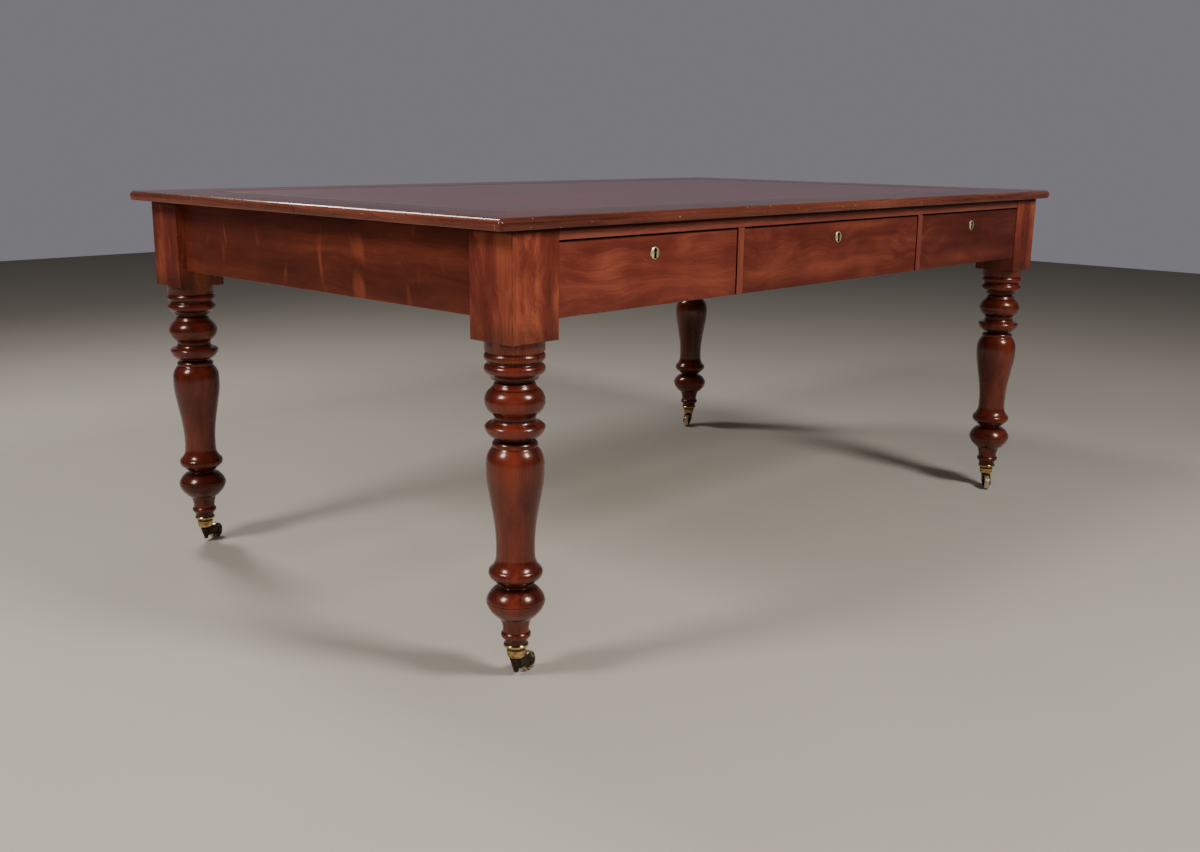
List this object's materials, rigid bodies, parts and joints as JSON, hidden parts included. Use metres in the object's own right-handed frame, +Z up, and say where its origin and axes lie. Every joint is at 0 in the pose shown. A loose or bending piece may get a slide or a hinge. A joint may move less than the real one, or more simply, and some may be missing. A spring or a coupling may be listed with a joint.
{
  "type": "partners desk",
  "caption": "Long writing table with a leather-lined top, drawers along both long sides and turned baluster legs on swivelling brass castors.",
  "frame": {"origin": "on the floor under the middle of the top", "axes": "+X along the long sides, -Y towards the front row of drawers, +Z up"},
  "size_m": [1.836, 1.13, 0.757],
  "materials": {
    "polished_mahogany": "french polished, dark red brown mahogany, high gloss",
    "turned_mahogany": "french polished turned mahogany, very high gloss",
    "figured_mahogany": "french polished mahogany with a blotchy flame figure",
    "drawer_lining": "plain wood, waxed, mellowed with age",
    "carcase_wood": "plain unpolished wood, dusty brown",
    "writing_leather": "burgundy hide, satin, with blind and gilt tooled lines",
    "escutcheon_brass": "bright polished brass",
    "lock_brass": "dull brass",
    "castor_brass": "aged brass, brown in the recesses, bright on the rims",
    "wheel_brass": "aged brass with the treads worn bright"
  },
  "bodies": {
    "root": {"castor_cup_back_left": "castor_brass", "castor_cup_back_right": "castor_brass", "castor_cup_front_left": "castor_brass", "castor_cup_front_right": "castor_brass", "centre_partition": "carcase_wood", "drawer_dividers_back": "polished_mahogany", "drawer_dividers_front": "polished_mahogany", "drawer_guides": "carcase_wood", "drawer_kickers": "carcase_wood", "drawer_runners": "carcase_wood", "end_apron_left": "polished_mahogany", "end_apron_right": "polished_mahogany", "leather_skiver": "writing_leather", "leg_back_left": "turned_mahogany", "leg_back_right": "turned_mahogany", "leg_front_left": "turned_mahogany", "leg_front_right": "turned_mahogany", "top_border_back": "polished_mahogany", "top_border_front": "polished_mahogany", "top_border_left": "polished_mahogany", "top_border_right": "polished_mahogany", "top_ground": "carcase_wood", "top_rail_back": "polished_mahogany", "top_rail_front": "polished_mahogany"},
    "front_left_drawer": {"front_left_drawer_face": "figured_mahogany", "front_left_drawer_box": "drawer_lining", "front_left_drawer_lock": "lock_brass", "front_left_drawer_escutcheon": "escutcheon_brass"},
    "front_middle_drawer": {"front_middle_drawer_face": "figured_mahogany", "front_middle_drawer_box": "drawer_lining", "front_middle_drawer_lock": "lock_brass", "front_middle_drawer_escutcheon": "escutcheon_brass"},
    "front_right_drawer": {"front_right_drawer_face": "figured_mahogany", "front_right_drawer_box": "drawer_lining", "front_right_drawer_lock": "lock_brass", "front_right_drawer_escutcheon": "escutcheon_brass"},
    "back_left_drawer": {"back_left_drawer_face": "figured_mahogany", "back_left_drawer_box": "drawer_lining", "back_left_drawer_lock": "lock_brass", "back_left_drawer_escutcheon": "escutcheon_brass"},
    "back_middle_drawer": {"back_middle_drawer_face": "figured_mahogany", "back_middle_drawer_box": "drawer_lining", "back_middle_drawer_lock": "lock_brass", "back_middle_drawer_escutcheon": "escutcheon_brass"},
    "back_right_drawer": {"back_right_drawer_face": "figured_mahogany", "back_right_drawer_box": "drawer_lining", "back_right_drawer_lock": "lock_brass", "back_right_drawer_escutcheon": "escutcheon_brass"},
    "castor_front_left": {"castor_horn_front_left": "castor_brass", "castor_axle_front_left": "castor_brass"},
    "wheel_front_left": {"castor_wheel_front_left": "wheel_brass"},
    "castor_back_left": {"castor_horn_back_left": "castor_brass", "castor_axle_back_left": "castor_brass"},
    "wheel_back_left": {"castor_wheel_back_left": "wheel_brass"},
    "castor_front_right": {"castor_horn_front_right": "castor_brass", "castor_axle_front_right": "castor_brass"},
    "wheel_front_right": {"castor_wheel_front_right": "wheel_brass"},
    "castor_back_right": {"castor_horn_back_right": "castor_brass", "castor_axle_back_right": "castor_brass"},
    "wheel_back_right": {"castor_wheel_back_right": "wheel_brass"}
  },
  "joints": [
    {"name": "front_left_drawer_slide", "type": "slide", "parent": "root", "child": "front_left_drawer", "axis": [0, -1, 0], "range_m": [0, 0.36]},
    {"name": "front_middle_drawer_slide", "type": "slide", "parent": "root", "child": "front_middle_drawer", "axis": [0, -1, 0], "range_m": [0, 0.36]},
    {"name": "front_right_drawer_slide", "type": "slide", "parent": "root", "child": "front_right_drawer", "axis": [0, -1, 0], "range_m": [0, 0.36]},
    {"name": "back_left_drawer_slide", "type": "slide", "parent": "root", "child": "back_left_drawer", "axis": [0, 1, 0], "range_m": [0, 0.36]},
    {"name": "back_middle_drawer_slide", "type": "slide", "parent": "root", "child": "back_middle_drawer", "axis": [0, 1, 0], "range_m": [0, 0.36]},
    {"name": "back_right_drawer_slide", "type": "slide", "parent": "root", "child": "back_right_drawer", "axis": [0, 1, 0], "range_m": [0, 0.36]},
    {"name": "castor_front_left_swivel", "type": "hinge", "parent": "root", "child": "castor_front_left", "pos_m": [-0.83, -0.499, 0.034], "axis": [0, 0, 1], "continuous": true},
    {"name": "wheel_front_left_roll", "type": "hinge", "parent": "castor_front_left", "child": "wheel_front_left", "pos_m": [-0.80046, -0.49379, 0.017], "axis": [-0.1736, 0.9848, 0], "continuous": true},
    {"name": "castor_back_left_swivel", "type": "hinge", "parent": "root", "child": "castor_back_left", "pos_m": [-0.83, 0.499, 0.034], "axis": [0, 0, 1], "continuous": true},
    {"name": "wheel_back_left_roll", "type": "hinge", "parent": "castor_back_left", "child": "wheel_back_left", "pos_m": [-0.80181, 0.50926, 0.017], "axis": [-0.342, 0.9397, 0], "continuous": true},
    {"name": "castor_front_right_swivel", "type": "hinge", "parent": "root", "child": "castor_front_right", "pos_m": [0.83, -0.499, 0.034], "axis": [0, 0, 1], "continuous": true},
    {"name": "wheel_front_right_roll", "type": "hinge", "parent": "castor_front_right", "child": "wheel_front_right", "pos_m": [0.80456, -0.5149, 0.017], "axis": [0.5299, -0.848, 0], "continuous": true},
    {"name": "castor_back_right_swivel", "type": "hinge", "parent": "root", "child": "castor_back_right", "pos_m": [0.83, 0.499, 0.034], "axis": [0, 0, 1], "continuous": true},
    {"name": "wheel_back_right_roll", "type": "hinge", "parent": "castor_back_right", "child": "wheel_back_right", "pos_m": [0.80402, 0.484, 0.017], "axis": [0.5, -0.866, 0], "continuous": true}
  ]
}
